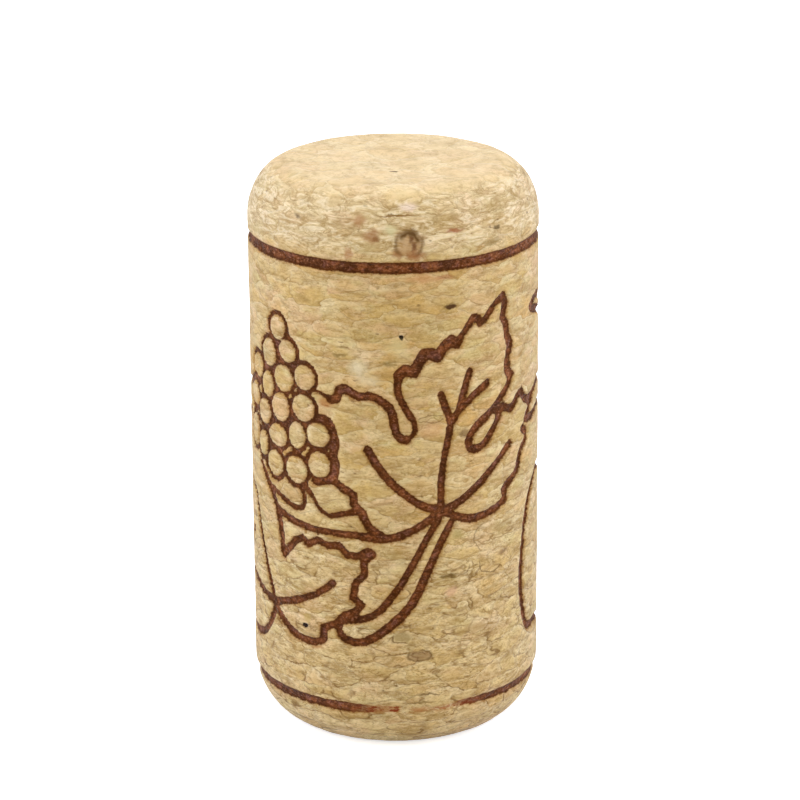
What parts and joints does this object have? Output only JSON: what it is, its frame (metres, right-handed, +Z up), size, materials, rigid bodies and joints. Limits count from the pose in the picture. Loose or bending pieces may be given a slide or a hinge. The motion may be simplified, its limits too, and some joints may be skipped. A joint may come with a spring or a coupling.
{
  "type": "wine cork",
  "caption": "Straight wine cork of pressed granules with rounded ends, two burnt rings and a burnt-in grape and vine leaf drawing.",
  "frame": {"origin": "centre of the base face, on the surface the cork stands on", "axes": "+Z up along the cork's axis; the middle of the burnt drawing faces -Y"},
  "size_m": [0.022, 0.022, 0.044],
  "materials": {
    "cork": "matt natural cork, pale tan granules, with dark brown burnt lines"
  },
  "bodies": {
    "root": {"cork": "cork"}
  },
  "joints": []
}
